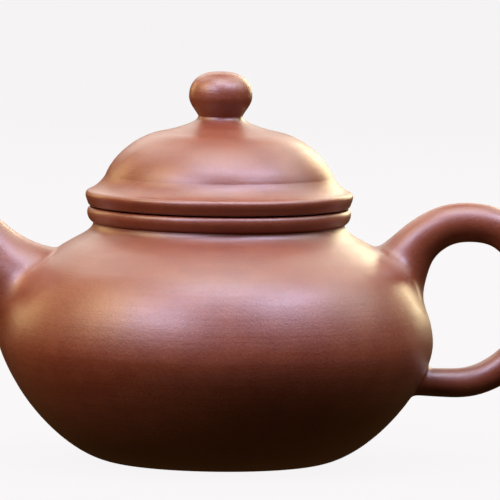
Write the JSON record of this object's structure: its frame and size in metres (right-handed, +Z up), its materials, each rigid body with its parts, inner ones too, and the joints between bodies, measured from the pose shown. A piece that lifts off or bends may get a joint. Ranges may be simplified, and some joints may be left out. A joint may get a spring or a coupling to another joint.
{
  "type": "teapot",
  "caption": "Round unglazed clay teapot with a low belly, domed lift-off lid, bead knob, ringed mouth, one-bend spout and ear handle.",
  "frame": {"origin": "centre of the flat base, on the body's axis, on the surface the pot stands on", "axes": "+Z up along the body's axis, +X from the axis towards the handle, -X towards the spout"},
  "size_m": [0.1371, 0.0948, 0.0857],
  "materials": {
    "fired_clay": "unglazed, hand burnished to a satin sheen"
  },
  "bodies": {
    "pot": {"base_disc": "fired_clay", "body_wall": "fired_clay", "shoulder_disc": "fired_clay", "neck_coil": "fired_clay", "mouth_ring": "fired_clay", "spout": "fired_clay", "strainer": "fired_clay", "handle": "fired_clay"},
    "lid_collar": {"lid_flange": "fired_clay"},
    "lid": {"lid_rim": "fired_clay", "lid_dome": "fired_clay", "knob": "fired_clay"}
  },
  "joints": [
    {"name": "lid_lift", "type": "slide", "parent": "pot", "child": "lid_collar", "axis": [0, 0, 1], "range_m": [0, 0.04]},
    {"name": "lid_turn", "type": "hinge", "parent": "lid_collar", "child": "lid", "pos_m": [0, 0, 0.0559], "axis": [0, 0, 1], "continuous": true}
  ]
}
